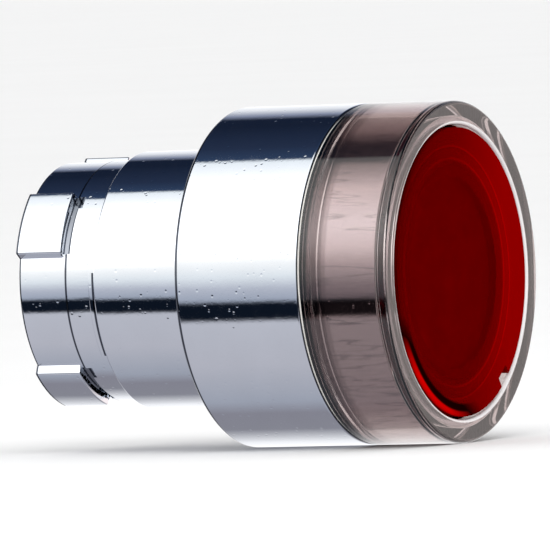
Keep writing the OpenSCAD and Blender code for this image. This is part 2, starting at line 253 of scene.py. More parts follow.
def turned(name, corners, first=0.0, sweep=360.0, steps=None):
    """Spins a section round the axis, from an angle and through a sweep, both in degrees."""
    steps = steps or max(4, round(sizes().turn_steps * sweep / 360))
    piece = draw_section(name, corners)
    full = sweep >= 360
    bpy.ops.mesh.select_all(action="SELECT")
    if full:
        bpy.ops.mesh.delete(type="ONLY_FACE")
        bpy.ops.mesh.select_all(action="SELECT")
    bpy.ops.mesh.spin(
        steps=steps, angle=math.radians(sweep), center=CENTRE, axis=SPIN_AXIS, use_auto_merge=full)
    bpy.ops.mesh.select_all(action="SELECT")
    bpy.ops.mesh.remove_doubles(threshold=TINY)
    bpy.ops.mesh.dissolve_degenerate(threshold=TINY)
    bpy.ops.mesh.delete_loose(use_verts=True, use_edges=True, use_faces=False)
    close_edit()
    if first:
        turn(piece, first)
    return piece


def turn(piece, angle):
    """Turns a piece about the button's axis, from +X towards +Z, and keeps its object unturned."""
    pick(piece)
    piece.rotation_euler = (0, -math.radians(angle), 0)
    bpy.ops.object.transform_apply(location=False, rotation=True, scale=False)


def copy_of(piece, angle):
    """A copy with its own mesh, turned about the axis."""
    pick(piece)
    bpy.ops.object.duplicate(linked=False)
    twin = bpy.context.object
    turn(twin, angle)
    return twin


def joined(piece, *others):
    """Joins other pieces into the first."""
    pick(piece, *others)
    bpy.ops.object.join()
    return piece


def modified(piece, kind, **settings):
    """Adds a modifier and applies it."""
    pick(piece)
    bpy.ops.object.modifier_add(type=kind)
    modifier = piece.modifiers[-1]
    for key, value in settings.items():
        setattr(modifier, key, value)
    bpy.ops.object.modifier_apply(modifier=modifier.name)
    return piece


def edges_softened(piece, width, sharp=50):
    """Rounds the edges that are sharper than an angle."""
    return modified(
        piece, "BEVEL", width=width * MM, segments=3, limit_method="ANGLE", angle_limit=math.radians(sharp))


def cut_or_added(piece, tool, operation):
    """Cuts a tool out of a piece, or fuses it on, and removes the tool."""
    modified(piece, "BOOLEAN", operation=operation, solver="EXACT", object=tool)
    bpy.data.objects.remove(tool)
    return piece


def repeated(piece, count):
    """The piece and its turned copies, joined."""
    copies = [copy_of(piece, 360 / count * i) for i in range(1, count)]
    return joined(piece, *copies)


def smooth(piece, angle=32):
    """Smooth shading with sharp edges kept, and normals led by the large faces."""
    pick(piece)
    bpy.ops.object.shade_smooth_by_angle(angle=math.radians(angle))
    return modified(piece, "WEIGHTED_NORMAL", weight=100, keep_sharp=True)


def placed(piece, body, nodes, slot):
    """Gives a piece its finish and its body, and hides the nodes it stands for. A piece that blends rides on
    none.
    """
    piece.data.materials.clear()
    piece.data.materials.append(finish(slot))
    if body:
        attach(piece, body)
    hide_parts(*nodes)
    return piece


# ---------------------------------------------------------------- finishes

def add(tree, kind, links=None, stops=(), **settings):
    """Adds a shader node, sets its properties and colour stops, and sets or links its inputs."""
    made = tree.nodes.new("ShaderNode" + kind)
    for key, value in settings.items():
        setattr(made, key, value)
    for socket, value in (links or {}).items():
        if isinstance(value, bpy.types.Node):
            value = value.outputs[0]
        if isinstance(value, bpy.types.NodeSocket):
            tree.links.new(value, made.inputs[socket])
        else:
            made.inputs[socket].default_value = value
    if stops:
        line = made.color_ramp
        while len(line.elements) < len(stops):
            line.elements.new(0.5)
        for element, (position, colour) in zip(line.elements, stops):
            element.position = position
        for element, (position, colour) in zip(line.elements, stops):
            element.color = colour
    return made


def per_mm(size):
    """Scale of a pattern whose features are this many millimetres apart."""
    return 1 / (size * MM)


def blank(name):
    """A new material: its node tree, its shader and its object coordinates."""
    material = bpy.data.materials.new(name)
    material.use_nodes = True
    tree = material.node_tree
    tree.nodes.clear()
    shader = add(tree, "BsdfPrincipled")
    add(tree, "OutputMaterial", {"Surface": shader})
    place = add(tree, "TexCoord").outputs["Object"]
    return material, tree, shader, place


def set_shader(shader, **values):
    for key, value in values.items():
        shader.inputs[key.replace("_", " ")].default_value = value


def tinted(colour, factor):
    """A colour made lighter or darker, up to white."""
    return tuple(min(1.0, c * factor) for c in colour[:3]) + (1.0,)


def tinted_light(colour, factor):
    """A light's colour made stronger or weaker."""
    return tuple(c * factor for c in colour[:3]) + (1.0,)


def mottled(tree, place, base, size, detail, dark, light):
    """A colour that drifts between a darker and a lighter one, over patches of a size in millimetres."""
    patches = add(tree, "TexNoise", {"Vector": place, "Scale": per_mm(size), "Detail": detail})
    stops = [(0.3, tinted(base, dark)), (0.7, tinted(base, light))]
    return add(tree, "ValToRGB", {"Fac": patches}, stops)


def uneven(tree, shader, place, size, detail, low, high):
    """Lets the shader's roughness drift between two values."""
    patches = add(tree, "TexNoise", {"Vector": place, "Scale": per_mm(size), "Detail": detail})
    rough = add(tree, "MapRange", {0: patches, 3: low, 4: high})
    tree.links.new(rough.outputs[0], shader.inputs["Roughness"])


def bumped(tree, shader, layers):
    """Stacks bumps. A layer is (height, strength, depth in millimetres)."""
    normal = None
    for height, strength, depth in layers:
        links = {"Height": height, "Strength": strength, "Distance": depth * MM}
        if normal:
            links["Normal"] = normal
        normal = add(tree, "Bump", links)
    tree.links.new(normal.outputs[0], shader.inputs["Normal"])


def from_axis(tree, place, shift=0.0):
    """Distance from the button's axis, or from a line that is shifted along -X by some millimetres."""
    flat = add(tree, "Mapping", {
        "Vector": place, "Location": (shift * MM, 0, 0), "Scale": (1.0, 0.0, 1.0)})
    return add(tree, "VectorMath", {0: flat}, operation="LENGTH").outputs["Value"]


def chromium_plate():
    """Chromium plate on a die casting, polished: a mirror with a faint orange peel and open pores."""
    material, tree, shader, place = blank("chromium_plate")
    base = colours().chrome
    set_shader(shader, Metallic=1.0)
    haze = mottled(tree, place, base, 3.0, 3, 0.97, 1.0)
    # Painted shade in the seams, which lie at these places along the axis, each with half its width
    along = add(tree, "SeparateXYZ", {0: place}).outputs["Y"]
    lug_front = BARREL_BACK + sizes().lug_length / MM
    seams = (
        (-BARREL_BACK - 0.15, 0.13), (-lug_front - 0.3, 0.14), (sizes().neck_length / MM + 0.14, 0.14),
        (-0.22, 0.21), (-BEZEL_FRONT, 0.08),
    )
    # Painted shade also darkens the grooves in front of the lugs, which are deeper than the tube
    deep = add(tree, "MapRange", {0: from_axis(tree, place), 1: 9.95 * MM, 2: 10.1 * MM})
    behind = add(tree, "MapRange", {0: along, 1: -(lug_front - 0.02) * MM, 2: -(lug_front - 0.06) * MM})
    floor = add(tree, "Math", {0: deep, 1: behind}, operation="MAXIMUM")
    unshaded = add(tree, "MapRange", {0: floor, 3: 0.65, 4: 1.0})
    for middle, half in seams:
        offset = add(tree, "Math", {0: along, 1: middle * MM}, operation="SUBTRACT")
        away = add(tree, "Math", {0: offset}, operation="ABSOLUTE")
        line = add(tree, "MapRange", {0: away, 1: half * 0.7 * MM, 2: half * MM, 3: 0.08, 4: 1.0})
        unshaded = add(tree, "Math", {0: unshaded, 1: line}, operation="MULTIPLY")
    # The plate's colour goes dark towards the painted shade in the seams and grooves
    shaded_plate = add(tree, "Mix", {"Factor": unshaded, 6: colours().seam_shade, 7: haze}, data_type="RGBA")
    tree.links.new(shaded_plate.outputs[2], shader.inputs["Base Color"])
    polish = add(tree, "TexNoise", {
        "Vector": place, "Scale": per_mm(1.2), "Detail": 4.0, "Roughness": 0.6})
    rough = add(tree, "MapRange", {0: polish, 1: 0.35, 2: 0.7, 3: 0.035, 4: 0.075})
    tree.links.new(rough.outputs[0], shader.inputs["Roughness"])
    # Pores of the casting, about 0.2 mm wide, one in each cell, with fine specks between them
    cells = add(tree, "TexVoronoi", {"Vector": place, "Scale": per_mm(0.8)})
    pore = add(tree, "MapRange", {0: cells.outputs["Distance"], 1: 0.06, 2: 0.18})
    specks = add(tree, "TexVoronoi", {"Vector": place, "Scale": per_mm(0.34)})
    speck = add(tree, "MapRange", {0: specks.outputs["Distance"], 1: 0.05, 2: 0.25})
    peel = add(tree, "TexNoise", {"Vector": place, "Scale": per_mm(0.9)})
    fine_peel = add(tree, "TexNoise", {"Vector": place, "Scale": per_mm(0.22)})
    bumped(tree, shader, [
        (peel, 0.9, 0.003), (fine_peel, 0.8, 0.0011), (speck, 0.5, 0.002), (pore, 0.8, 0.01)])
    return material


def smoked_polycarbonate():
    """Clear polycarbonate with a slight brown tint, moulded: gloss, flow waves and fine scratches."""
    material, tree, shader, place = blank("smoked_polycarbonate")
    set_shader(shader, IOR=POLYCARBONATE_IOR, Transmission_Weight=1.0)
    tint = mottled(tree, place, colours().smoke, 4.0, 2, 0.96, 1.0).outputs[0]
    # The rear edge, over the snap bead, is darkened: painted shade where the ring sits over the snap bead
    along = add(tree, "SeparateXYZ", {0: place}).outputs["Y"]
    rear = add(tree, "MapRange", {0: along, 1: -(RING_BACK + 1.8) * MM, 2: -(RING_BACK + 1.6) * MM})
    depth = add(tree, "ValToRGB", {"Fac": rear}, [(0.0, WHITE), (1.0, (0.56, 0.52, 0.52, 1))])
    # Long hair scratches along the axis, drawn wider than the real ones so that they show
    drawn = add(tree, "Mapping", {"Vector": place, "Scale": (1.0, 0.07, 1.0)})
    level = add(tree, "TexNoise", {
        "Vector": drawn, "Scale": per_mm(2.4), "Detail": 3.0, "Roughness": 0.6})
    hairs = add(tree, "ValToRGB", {"Fac": level}, [
        (0.465, WHITE), (0.474, (0.5, 0.48, 0.48, 1)), (0.483, WHITE)])
    for layer in (depth, hairs):
        tint = add(tree, "Mix", {
            "Factor": 1.0, 6: tint, 7: layer}, data_type="RGBA", blend_type="MULTIPLY").outputs[2]
    # The rounded edge round the mouth is made white and nearly opaque: painted light for the bright light
    # seen through the clear ring there
    inner = add(tree, "MapRange", {
        0: from_axis(tree, place), 1: (MOUTH_R + 0.22) * MM, 2: (MOUTH_R + 0.32) * MM, 3: 1.0, 4: 0.0})
    front = add(tree, "MapRange", {
        0: along, 1: -(RING_FRONT - 0.35) * MM, 2: -(RING_FRONT - 0.45) * MM, 3: 1.0, 4: 0.0})
    painted_mouth_light = add(tree, "Math", {0: inner, 1: front}, operation="MULTIPLY")
    tint = add(tree, "Mix", {"Factor": painted_mouth_light, 6: tint, 7: colours().painted_mouth_light}, data_type="RGBA")
    tree.links.new(tint.outputs[2], shader.inputs["Base Color"])
    clear = add(tree, "MapRange", {0: painted_mouth_light, 3: 1.0, 4: 0.1})
    tree.links.new(clear.outputs[0], shader.inputs["Transmission Weight"])
    uneven(tree, shader, place, 1.5, 3, 0.015, 0.05)
    # Waves left by the mould, drawn out along the axis
    drawn = add(tree, "Mapping", {"Vector": place, "Scale": (1.0, 0.25, 1.0)})
    wave = add(tree, "TexNoise", {"Vector": drawn, "Scale": per_mm(2.2)})
    ripple = add(tree, "TexNoise", {"Vector": place, "Scale": per_mm(0.5), "Detail": 3.0})
    bumped(tree, shader, [(wave, 0.4, 0.012), (ripple, 0.25, 0.0015)])
    return material


def red_polycarbonate():
    """Transparent red polycarbonate, moulded with a gloss face. What it mirrors is as red as it is."""
    material, tree, shader, place = blank("red_polycarbonate")
    base = colours().lens
    tint = mottled(tree, place, base, 3.0, 2, 0.92, 1.0)
    patches = add(tree, "TexNoise", {"Vector": place, "Scale": per_mm(1.0), "Detail": 3.0})
    rough = add(tree, "MapRange", {0: patches, 3: 0.05, 4: 0.1})
    wave = add(tree, "TexNoise", {"Vector": place, "Scale": per_mm(1.6)})
    normal = add(tree, "Bump", {"Height": wave, "Strength": 0.3, "Distance": 0.004 * MM})
    share = add(tree, "Fresnel", {"IOR": POLYCARBONATE_IOR, "Normal": normal})
    through = add(tree, "BsdfRefraction", {
        "Color": tint, "Roughness": rough, "IOR": POLYCARBONATE_IOR, "Normal": normal})
    mirror = add(tree, "BsdfGlossy", {"Color": tinted(base, 0.45), "Roughness": rough, "Normal": normal})
    mixed = add(tree, "MixShader", {0: share, 1: through, 2: mirror})
    # The rim is thick and scatters the light that reaches it, and its colour is painted lighter towards +X:
    # painted light on the sunken film's far side
    across = add(tree, "SeparateXYZ", {0: place}).outputs
    far = add(tree, "MapRange", {0: across["X"], 1: -LENS_R * MM, 2: LENS_R * MM})
    painted_rim_light = add(tree, "ValToRGB", {"Fac": far}, [
        (0.0, tinted(base, 0.1)), (0.5, tinted(base, 0.27)), (0.85, tinted(base, 0.54))])
    scattered = add(tree, "BsdfDiffuse", {"Color": painted_rim_light, "Normal": normal})
    beyond = add(tree, "MapRange", {0: from_axis(tree, place, 1.6), 1: 8.0 * MM, 2: 11.0 * MM})
    # The film's edge and the diffuser's edge show as two fine arcs of painted light
    painted_arcs = (
        (0.0, 0), (0.08, 0.2), (0.44, 0.24), (0.5, 0.4), (0.545, 0.8), (0.595, 0.44),
        (0.82, 0.46), (0.85, 0.34), (0.89, 0.9), (0.94, 0.51),
    )
    rim = add(tree, "ValToRGB", {"Fac": beyond}, [(at, (part, part, part, 1)) for at, part in painted_arcs])
    mixed = add(tree, "MixShader", {0: rim, 1: mixed, 2: scattered})
    # This falls from the upper right to the lower left
    low = add(tree, "Math", {0: across["X"], 1: 0.6, 2: across["Z"]}, operation="MULTIPLY_ADD")
    outwards = from_axis(tree, place)
    face = add(tree, "MapRange", {
        0: across["Y"], 1: -(LENS_FRONT - 0.2) * MM, 2: -(LENS_FRONT - 0.3) * MM, 3: 1.0, 4: 0.0})
    # The face's edge is painted lit on the lower side, a painted light where light comes in from the other,
    # and a dark crescent of painted shade lies inside it, where the rim shows the gap behind. Each has the
    # radii between which it grows full, the values of low at which it starts and is full, and its colour.
    shade_crescent = (11.05, 11.25, -9.9, -11.7, tinted(base, 0.01))
    lit_edge = (11.75, 11.9, -11.6, -13.6, (0.55, 0.0, 0.0, 1.0))
    for inner, outer, start, full, colour in (shade_crescent, lit_edge):
        share = add(tree, "MapRange", {0: outwards, 1: inner * MM, 2: outer * MM})
        side = add(tree, "MapRange", {0: low, 1: full * MM, 2: start * MM, 3: 1.0, 4: 0.0})
        for limit in (side, face):
            share = add(tree, "Math", {0: share, 1: limit}, operation="MULTIPLY")
        layer = add(tree, "BsdfDiffuse", {"Color": colour, "Normal": normal})
        mixed = add(tree, "MixShader", {0: share, 1: mixed, 2: layer})
    tree.nodes.remove(shader)
    output = next(n for n in tree.nodes if n.type == "OUTPUT_MATERIAL")
    tree.links.new(mixed.outputs[0], output.inputs["Surface"])
    return material


def moulded(name, base, rough, grain, depth, ior=1.5):
    """An opaque moulding with a fine grain and slightly uneven colour."""
    material, tree, shader, place = blank(name)
    set_shader(shader, IOR=ior)
    shade = mottled(tree, place, base, 2.5, 3, 0.86, 1.08)
    tree.links.new(shade.outputs[0], shader.inputs["Base Color"])
    uneven(tree, shader, place, 0.8, 3, rough - 0.06, rough + 0.06)
    texture = add(tree, "TexNoise", {"Vector": place, "Scale": per_mm(grain)})
    bumped(tree, shader, [(texture, 0.5, depth)])
    return material


def black_nylon():
    """Glass-filled nylon, spark-eroded mould: matt black with a fine grain."""
    return moulded("black_nylon", colours().black, 0.5, 0.12, 0.004, 1.53)


def nitrile_rubber():
    """Nitrile rubber, compression moulded: matt, with a soft bloom."""
    return moulded("nitrile_rubber", colours().rubber, 0.68, 0.2, 0.005, 1.52)


def pale_silicone():
    """Pale silicone rubber, die-cut: soft and matt."""
    return moulded("pale_silicone", colours().silicone, 0.6, 0.15, 0.003, 1.41)


def natural_acetal():
    """Natural acetal, turned: waxy white."""
    return moulded("natural_acetal", colours().acetal, 0.38, 0.1, 0.002, 1.48)


def white_abs():
    """White ABS, moulded: bright and smooth."""
    return moulded("white_abs", colours().white, 0.35, 0.3, 0.002, 1.54)


def milky_polycarbonate():
    """Milky polycarbonate: it glows softly, because light scatters inside it."""
    material = moulded("milky_polycarbonate", colours().milk, 0.3, 0.5, 0.002, POLYCARBONATE_IOR)
    shader = next(n for n in material.node_tree.nodes if n.type == "BSDF_PRINCIPLED")
    set_shader(shader, Subsurface_Weight=0.5, Subsurface_Radius=(1.0, 1.0, 1.0), Subsurface_Scale=1.0 * MM)
    return material


def legend_film():
    """Matt grey polyester film."""
    return moulded("legend_film", colours().film, 0.55, 0.2, 0.001, 1.6)


def brushed_metal(name, base, rough, streak):
    """A metal with fine marks drawn round the button's axis."""
    material, tree, shader, place = blank(name)
    set_shader(shader, Metallic=1.0)
    shade = mottled(tree, place, base, 1.8, 3, 0.85, 1.05)
    tree.links.new(shade.outputs[0], shader.inputs["Base Color"])
    uneven(tree, shader, place, 0.5, 3, rough - 0.08, rough + 0.08)
    across = add(tree, "Mapping", {"Vector": place, "Scale": (0.2, 3.0, 0.2)})
    marks = add(tree, "TexNoise", {"Vector": across, "Scale": per_mm(streak), "Detail": 3.0})
    bumped(tree, shader, [(marks, 0.4, 0.002)])
    return material


def zinc_plate():
    """Bright zinc plate on pressed steel."""
    return brushed_metal("zinc_plate", colours().zinc, 0.34, 0.3)


def drawn_wire():
    """Drawn stainless spring wire, with faint lines from the die."""
    return brushed_metal("drawn_wire", colours().wire, 0.28, 0.2)


FINISHES = {
    "chrome": chromium_plate,
    "clear_smoke": smoked_polycarbonate,
    "red_lens": red_polycarbonate,
    "black_plastic": black_nylon,
    "black_rubber": nitrile_rubber,
    "pale_seal": pale_silicone,
    "natural_acetal": natural_acetal,
    "white_plastic": white_abs,
    "milk_plastic": milky_polycarbonate,
    "legend_film": legend_film,
    "zinc_steel": zinc_plate,
    "spring_steel": drawn_wire,
}
_made = {}
# Nodes whose own mesh is shown, with a finish
PLAIN_RINGS = ("boot_clamp_ring", "guide_bush", "spring_washer", "lens_seal")


def finish(slot):
    """The material of a slot of the record, made once."""
    if slot not in _made:
        _made[slot] = FINISHES[slot]()
    return _made[slot]


def housing_piece(piece, node, slot):
    """Places a piece on the housing."""
    return placed(piece, "housing", [node], slot)


def button_piece(piece, node, slot):
    """Places a piece on the button."""
    return placed(piece, "button", [node], slot)


# ---------------------------------------------------------------- one operator for each piece

class PUSHBUTTON_OT_barrel(bpy.types.Operator):
    """Chromed casting: tube, neck and cup turned, lugs fused on, and grooves cut"""
    bl_idname = "pushbutton.barrel"
    bl_label = "Barrel"

    def execute(self, context):
        s = sizes()
        radii = (s.neck_radius, s.tube_radius, s.tube_end_radius, s.lug_radius)
        neck, tube, end, lug = (r / MM for r in radii)
        neck_back = -s.neck_length / MM
        lug_front = BARREL_BACK + s.lug_length / MM
        lug_angle, phase = math.degrees(s.lug_angle), math.degrees(s.lug_phase)
        rear_bore, spring_bore, ledge_bore = 8.8, 8.6, 7.4
        groove = end - 0.5
        piece = turned("cast_barrel", [
            (rear_bore, BARREL_BACK, 0.12), (end, BARREL_BACK, 0.3),
            (end, lug_front + 0.3), (tube, lug_front + 0.3, 0.04),
            (tube, neck_back, 0.1), (neck, neck_back, 0.16),
            (neck, 0, 0.05), (neck - 0.2, 0), (neck - 0.2, GASKET_FRONT),
            (BARREL_R, GASKET_FRONT, 0.05),
            (BARREL_R, SNAP - 0.5), (BARREL_R - 0.25, SNAP - 0.3),
            (BARREL_R - 0.25, SNAP + 0.3), (BARREL_R, SNAP + 0.5),
            (BARREL_R, BARREL_FRONT, 0.15), (MOUTH_R, BARREL_FRONT, 0.15),
            (MOUTH_R, CLAMP_BACK - 1.2, 0.2), (spring_bore, CLAMP_BACK - 1.2, 0.1),
            (spring_bore, BUSH_FRONT - 0.8), (ledge_bore, BUSH_FRONT - 0.8),
            (ledge_bore, BUSH_BACK), (rear_bore, BUSH_BACK),
        ])
        # Lugs, with soft outer edges from the mould
        one_lug = self.lug((rear_bore + 0.5, end, lug), lug_angle / 2, BARREL_BACK + 0.02, lug_front, phase)
        edges_softened(one_lug, 0.14)
        cut_or_added(piece, repeated(one_lug, LUGS), "UNION")
        # The groove in front of each lug, and the wider pocket at its start
        for name, angle, length in (("groove", lug_angle, 0.65), ("pocket", 7.0, 1.0)):
            tool = turned(name, [
                (groove, lug_front - 0.01), (neck, lug_front - 0.01),
                (neck, lug_front + length), (groove, lug_front + length, 0.1),
            ], phase - lug_angle / 2 - 0.01, angle)
            cut_or_added(piece, repeated(tool, LUGS), "DIFFERENCE")
        # A low step along part of the neck's rear edge
        step = turned("step", [
            (neck - 1, neck_back - 0.6), (neck - 0.25, neck_back - 0.6, 0.08),
            (neck - 0.25, neck_back + 0.2), (neck - 1, neck_back + 0.2),
        ], 174.5, 40)
        cut_or_added(piece, step, "UNION")
        # Slots that the plunger's keys run in
        slot = self.slot(s.key_radius / MM + 0.3, phase)
        cut_or_added(piece, slot, "DIFFERENCE")
        housing_piece(smooth(piece), "barrel", "chrome")
        return {"FINISHED"}

    def lug(self, radii, half, back, front, phase):
        """One lug: its outline as seen along the axis, pulled out. Its sides flare towards the tube."""
        root, end, outer = radii
        flare = half + 1.8 * (outer - root) / (outer - end)
        around = [(root, -flare), *((outer, half * (i / 4 - 1)) for i in range(9)), (root, flare)]
        piece = draw_section(
            "lug", [(r * math.cos(math.radians(a)), r * math.sin(math.radians(a))) for r, a in around])
        bpy.ops.mesh.select_all(action="SELECT")
        bpy.ops.mesh.extrude_region_move(TRANSFORM_OT_translate={"value": (0, 0, (front - back) * MM)})
        close_edit()
        piece.location = (0, -back * MM, 0)
        piece.rotation_euler = (math.pi / 2, 0, 0)
        bpy.ops.object.transform_apply(location=True, rotation=True, scale=False)
        turn(piece, phase)
        return piece

    def slot(self, outer, phase):
        """Both key slots, as one block that reaches across the bore."""
        deselect_all()
        back, front = -0.9, CLAMP_BACK - 0.7
        bpy.ops.mesh.primitive_cube_add(size=1, location=(0, -(back + front) / 2 * MM, 0))
        block = bpy.context.object
        block.scale = (2 * outer * MM, (front - back) * MM, 2.6 * MM)
        bpy.ops.object.transform_apply(location=True, rotation=False, scale=True)
        turn(block, phase)
        return block


class PUSHBUTTON_OT_bezel(bpy.types.Operator):
    """Chromed sleeve round the cup, with a soft rear edge"""
    bl_idname = "pushbutton.bezel"
    bl_label = "Bezel"

    def execute(self, context):
        piece = turned("bezel_sleeve", [
            (BARREL_R, BEZEL_BACK, 0.08), (BEZEL_R, BEZEL_BACK, 0.45),
            (BEZEL_R, BEZEL_FRONT, 0.2), (BARREL_R, BEZEL_FRONT, 0.05),
        ])
        housing_piece(smooth(piece), "bezel", "chrome")
        return {"FINISHED"}


class PUSHBUTTON_OT_guard_ring(bpy.types.Operator):
    """Clear guard ring with a rounded front, and the thin pale washer behind it"""
    bl_idname = "pushbutton.guard_ring"
    bl_label = "Guard Ring"

    def execute(self, context):
        bore = BARREL_R + 0.05
        lip_back = BARREL_FRONT + 0.15
        piece = turned("clear_ring", [
            (bore, RING_BACK, 0.05), (RING_R, RING_BACK, 0.12),
            (RING_R, RING_FRONT, sizes().ring_rounding / MM), (MOUTH_R, RING_FRONT, 0.32),
            (MOUTH_R, lip_back, 0.08), (bore, lip_back, 0.1),
            (bore, SNAP + 0.4), (bore - 0.23, SNAP + 0.2, 0.03),
            (bore - 0.23, SNAP - 0.2, 0.03), (bore, SNAP - 0.4),
        ])
        housing_piece(smooth(piece), "guard_ring", "clear_smoke")
        washer_r, back, front = reach("guard_ring_seal")
        washer = turned("pale_washer", [
            (bore, back), (washer_r, back, 0.05), (washer_r, front, 0.05), (bore, front),
        ])
        housing_piece(smooth(washer), "guard_ring_seal", "pale_seal")
        return {"FINISHED"}


class PUSHBUTTON_OT_seals(bpy.types.Operator):
    """Rubber pieces: panel gasket, boot and bumper washer"""
    bl_idname = "pushbutton.seals"
    bl_label = "Seals"

    def execute(self, context):
        neck = sizes().neck_radius / MM
        middle = (neck + GASKET_R) / 2
        gasket = turned("gasket", [
            (neck + 0.1, GASKET_BACK, 0.05), (middle - 0.3, GASKET_BACK, 0.1),
            (middle - 0.1, GASKET_BACK + 0.25, 0.08), (middle + 0.3, GASKET_BACK + 0.25, 0.08),
            (middle + 0.5, GASKET_BACK, 0.1), (GASKET_R, GASKET_BACK, 0.12),
            (GASKET_R, GASKET_FRONT), (neck - 0.18, GASKET_FRONT), (neck - 0.18, 0.3),
        ])
        housing_piece(smooth(gasket), "panel_gasket", "black_rubber")

        bumper = turned("bumper", [
            (6.4, BUMPER_BACK, 0.12), (BUMPER_R, BUMPER_BACK, 0.12),
            (BUMPER_R, BUMPER_FRONT), (6.4, BUMPER_FRONT),
        ])
        housing_piece(smooth(bumper), "bumper_washer", "black_rubber")

        boot = self.boot()
        placed(boot, None, ["boot_seal"], "black_rubber")
        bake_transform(boot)
        return {"FINISHED"}

    def boot(self):
        """A thin bell between two thick beads."""
        wall = 0.25
        bead = BOOT_FRONT - 1.4
        line = [
            (10.95, BOOT_BACK + 0.6), (10.1, BOOT_BACK + 0.7), (9.7, BOOT_BACK + 1.6),
            (9.55, BOOT_BACK + 4), (9, bead - 1.7), (8.2, bead - 0.9), (7.3, bead + 0.1),
        ]
        back_side = [(r - wall * 0.6, h - wall * 0.8, 0.3) for r, h in line]
        front_side = [(r + wall * 0.6, h + wall * 0.8, 0.3) for r, h in reversed(line)]
        back_side[0] = (10.9, BOOT_BACK + 0.38)
        front_side[-1] = (10.9, BOOT_BACK + 0.85)
        piece = turned("rubber_boot", [
            (10.9, BOOT_BACK + 1.2, 0.1), (BOOT_R, BOOT_BACK + 1.2, 0.15), (BOOT_R, BOOT_BACK, 0.15),
            (10.9, BOOT_BACK, 0.1), *back_side,
            (6.05, bead, 0.1), (6.05, BOOT_FRONT), (7.2, BOOT_FRONT, 0.1), *front_side,
        ], steps=128)
        return smooth(piece, 50)


class PUSHBUTTON_OT_lens(bpy.types.Operator):
    """Red lens cap with its notch, and the white parts under it"""
    bl_idname = "pushbutton.lens"
    bl_label = "Lens"

    def execute(self, context):
        s = sizes()
        skirt = HOLDER_R - 0.8
        under = LENS_FRONT - s.lens_face / MM
        lens = turned("red_lens", [
            (0, under), (skirt, under, 0.15), (skirt, LENS_BACK),
            (LENS_R, LENS_BACK, 0.1), (LENS_R, LENS_FRONT, 0.15), (0, LENS_FRONT),
        ])
        notch = turned("notch", [
            (LENS_R - 1.0, LENS_FRONT - 1.2), (LENS_R + 1, LENS_FRONT - 1.2),
            (LENS_R + 1, LENS_FRONT + 1), (LENS_R - 1.0, LENS_FRONT + 1),
        ], math.degrees(s.notch_angle) - 4.4, 8.8)
        cut_or_added(lens, notch, "DIFFERENCE")
        button_piece(smooth(lens), "lens_cap", "red_lens")

        plateau = DIFFUSER_R - 0.5
        recess = LEGEND_R + 0.05
        diffuser = turned("milky_diffuser", [
            (0, LEGEND_BACK - 0.95), (plateau - 1, LEGEND_BACK - 0.95, 0.2), (plateau - 0.6, DIFFUSER_BACK),
            (DIFFUSER_R, DIFFUSER_BACK, 0.1), (DIFFUSER_R, DIFFUSER_BACK + 0.8, 0.1),
            (plateau + 0.15, DIFFUSER_BACK + 0.8, 0.1), (plateau, LEGEND_FRONT, 0.1), (recess, LEGEND_FRONT),
            (recess, LEGEND_BACK), (0, LEGEND_BACK),
        ])
        button_piece(smooth(diffuser), "diffuser", "milk_plastic")

        film = turned("blank_film", [
            (0, LEGEND_BACK), (LEGEND_R, LEGEND_BACK), (LEGEND_R, LEGEND_FRONT, 0.05), (0, LEGEND_FRONT),
        ])
        button_piece(smooth(film), "legend_disc", "legend_film")

        cone = turned("white_cone", [
            (4.9, REFLECTOR_BACK), (REFLECTOR_R, REFLECTOR_BACK), (REFLECTOR_R, REFLECTOR_FRONT, 0.1),
            (REFLECTOR_R - 0.5, REFLECTOR_FRONT, 0.1), (4.9, REFLECTOR_BACK + 0.3, 0.08),
        ])
        button_piece(smooth(cone), "reflector", "white_plastic")
        return {"FINISHED"}


class PUSHBUTTON_OT_plunger(bpy.types.Operator):
    """Hollow plunger with its keys, and the lens holder on its front end"""
    bl_idname = "pushbutton.plunger"
    bl_label = "Plunger"

    def execute(self, context):
        bore, stem, collar, end = 4.8, 6.0, 8.3, 5.7
        collar_back = SPRING_FRONT + 0.47
        piece = turned("keyed_plunger", [
            (bore, STEM_BACK, 0.12), (end, STEM_BACK, 0.15),
            (end, CLIP_BACK), (end - 0.4, CLIP_BACK), (end - 0.4, CLIP_FRONT), (end, CLIP_FRONT),
            (end, BUMPER_BACK - 0.3), (stem, BUMPER_BACK - 0.3, 0.05),
            (stem, collar_back, 0.08), (collar, collar_back, 0.1),
            (collar, collar_back + 1.2, 0.1), (stem, collar_back + 1.2, 0.1),
            (stem, HOLDER_BACK), (5.5, HOLDER_BACK), (5.5, STEM_FRONT), (bore, STEM_FRONT, 0.08),
        ])
        outer = sizes().key_radius / MM
        keys = [self.key(outer, collar_back, math.degrees(sizes().lug_phase) + side) for side in (0, 180)]
        joined(piece, *keys)
        button_piece(smooth(piece), "plunger", "black_plastic")

        cup = HOLDER_R - 0.85
        holder = turned("lens_cup", [
            (5.5, HOLDER_BACK), (HOLDER_R, HOLDER_BACK, 0.12), (HOLDER_R, HOLDER_BACK + 1.2, 0.08),
            (cup, HOLDER_BACK + 1.2), (cup, LENS_BACK + 0.55), (cup - 0.25, LENS_BACK + 0.7),
            (cup - 0.25, LENS_BACK + 1.1), (cup, LENS_BACK + 1.25), (cup, HOLDER_FRONT, 0.08),
            (9.9, HOLDER_FRONT, 0.08), (9.9, HOLDER_BACK + 1.2), (5.5, HOLDER_BACK + 1.2),
        ])
        button_piece(smooth(holder), "lens_holder", "black_plastic")
        return {"FINISHED"}

    def key(self, outer, back, angle):
        """A guide key that stands out of the collar."""
        deselect_all()
        inner = 7.3
        bpy.ops.mesh.primitive_cube_add(
            size=1, location=((inner + outer) / 2 * MM, -(back + 0.6) * MM, 0))
        key = bpy.context.object
        key.scale = ((outer - inner) * MM, 1.16 * MM, 2.0 * MM)
        bpy.ops.object.transform_apply(location=True, rotation=False, scale=True)
        modified(key, "BEVEL", width=0.12 * MM, segments=3)
        turn(key, angle)
        return key


